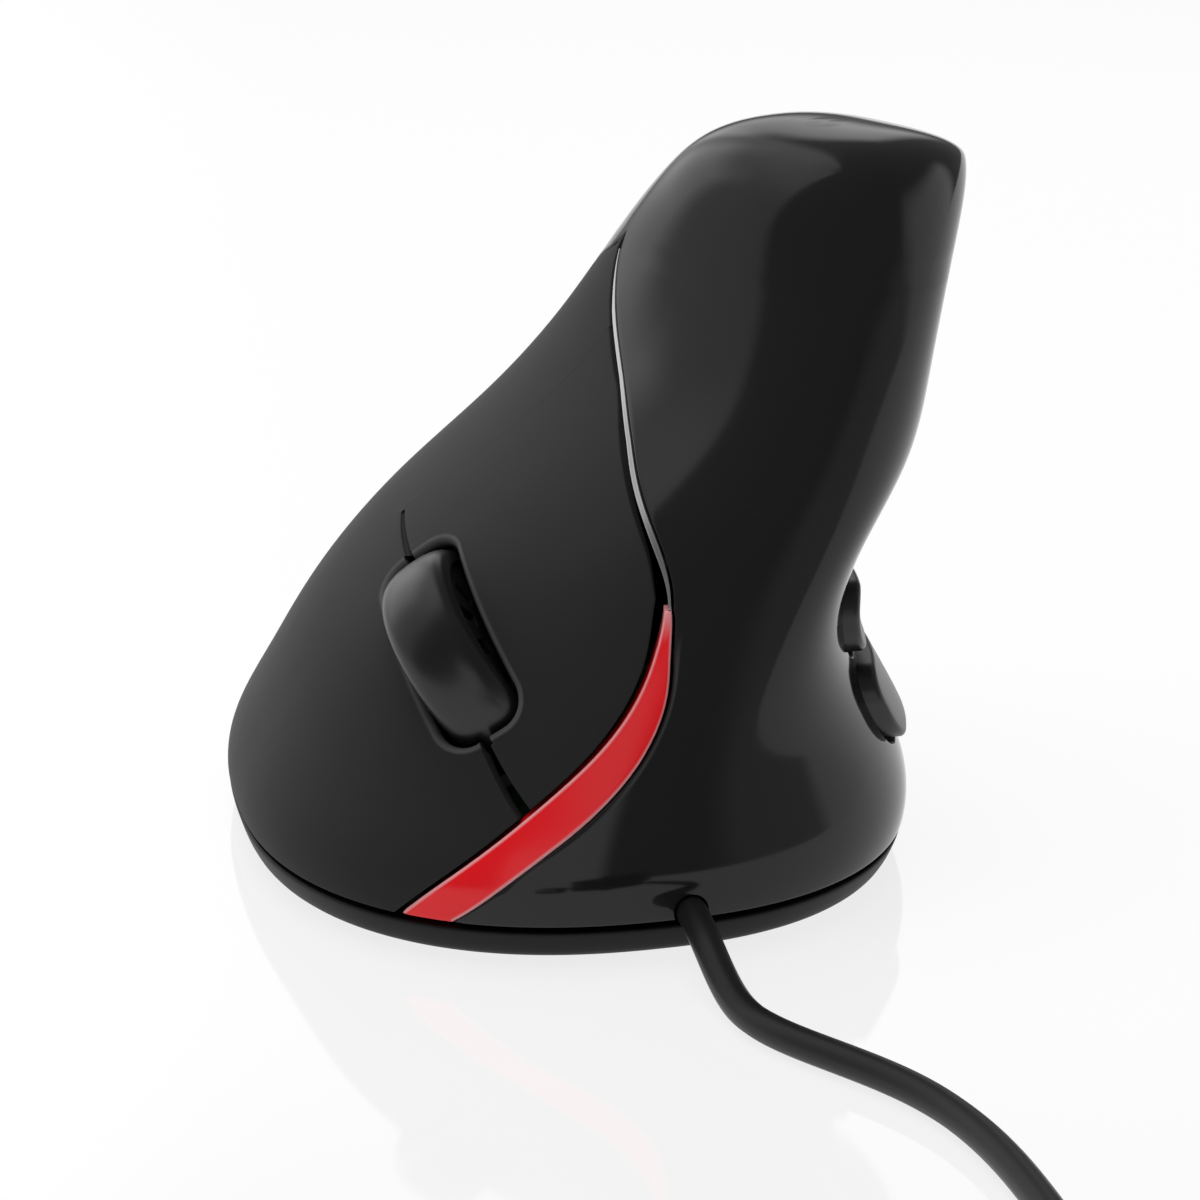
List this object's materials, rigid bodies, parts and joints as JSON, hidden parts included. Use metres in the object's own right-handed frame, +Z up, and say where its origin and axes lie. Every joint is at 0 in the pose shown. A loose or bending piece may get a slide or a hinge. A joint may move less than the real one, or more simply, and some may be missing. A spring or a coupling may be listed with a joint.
{
  "type": "vertical ergonomic mouse",
  "caption": "Right-hand vertical mouse: a leaning body with a thumb fin, flexing finger buttons, a pressable scroll wheel, thumb keys and a coiled cord with its plug.",
  "frame": {"origin": "on the desk under the middle of the mouse's own box, with its cord left out", "axes": "+X towards the finger side, +Y to the front where the cord leaves, +Z up"},
  "size_m": [0.0896, 0.2419, 0.0791],
  "materials": {
    "gloss_shell": "polished black",
    "satin_panel": "satin black",
    "base": "fine spark texture",
    "stripe": "gloss red",
    "line": "satin silver",
    "keys": "satin black",
    "feet": "waxy white",
    "tyre": "smooth dark rubber",
    "hub": "moulded dark grey",
    "frame_plastic": "moulded",
    "board": "green solder mask",
    "chip": "moulded epoxy",
    "switch": "moulded",
    "plunger": "moulded",
    "lens": "clear",
    "lamp": "tinted",
    "connector": "moulded",
    "steel": "zinc plated",
    "cord": "smooth jacket",
    "plug_metal": "nickel plated",
    "tongue": "moulded"
  },
  "bodies": {
    "housing": {"base_plate": "base", "main_shell": "gloss_shell", "finger_panel": "satin_panel", "accent_stripe": "stripe", "accent_line": "line", "glide_feet": "feet", "case_screws": "steel", "thumb_board": "board", "thumb_header": "connector", "thumb_switches": "switch", "guide_pins": "steel", "wheel_switch": "switch", "light_emitter": "lamp", "light_detector": "chip", "button_board": "board", "board_bracket": "frame_plastic", "index_switch": "switch", "middle_switch": "switch", "main_board": "board", "board_screws": "steel", "sensor_chip": "chip", "sensor_lens": "lens", "sensor_lamp": "lamp", "controller_chip": "chip", "cord_connector": "connector", "cord_grommet": "cord", "cord_lead": "cord", "cord_coil": "cord", "cord_tail": "cord", "cord_tie": "frame_plastic", "plug_grip": "cord", "plug_shell": "plug_metal", "plug_tongue": "tongue"},
    "index_finger_button": {"index_button": "satin_panel", "index_plunger": "plunger"},
    "middle_finger_button": {"middle_button": "satin_panel", "middle_plunger": "plunger"},
    "wheel_frame": {"wheel_carrier": "frame_plastic", "wheel_plunger": "plunger"},
    "wheel": {"wheel_hub": "hub", "wheel_tyre": "tyre"},
    "upper_thumb_key": {"thumb_key_upper": "keys", "thumb_plunger_upper": "plunger"},
    "lower_thumb_key": {"thumb_key_lower": "keys", "thumb_plunger_lower": "plunger"}
  },
  "joints": [
    {"name": "index_press", "type": "hinge", "parent": "housing", "child": "index_finger_button", "pos_m": [0.02094, 0.00375, 0.03773], "axis": [-0.7625, 0.034, 0.6461], "range_deg": [0, 0.7], "stiffness_Nm_per_rad": 1.1},
    {"name": "middle_press", "type": "hinge", "parent": "housing", "child": "middle_finger_button", "pos_m": [0.02161, 0.00361, 0.03716], "axis": [-0.4584, 0.3337, 0.8237], "range_deg": [0, 0.7], "stiffness_Nm_per_rad": 1.1},
    {"name": "wheel_press", "type": "slide", "parent": "housing", "child": "wheel_frame", "axis": [-0.6414, -0.4379, -0.63], "range_m": [0, 0.0004], "stiffness_N_per_m": 2000},
    {"name": "wheel_spin", "type": "hinge", "parent": "wheel_frame", "child": "wheel", "pos_m": [0.01776, 0.0221, 0.02601], "axis": [-0.7585, 0.2388, 0.6063], "continuous": true},
    {"name": "upper_thumb_press", "type": "slide", "parent": "housing", "child": "upper_thumb_key", "axis": [0.9957, -0.0929, 0], "range_m": [0, 0.0006], "stiffness_N_per_m": 1300},
    {"name": "lower_thumb_press", "type": "slide", "parent": "housing", "child": "lower_thumb_key", "axis": [0.9957, -0.0929, 0], "range_m": [0, 0.0006], "stiffness_N_per_m": 1300}
  ]
}
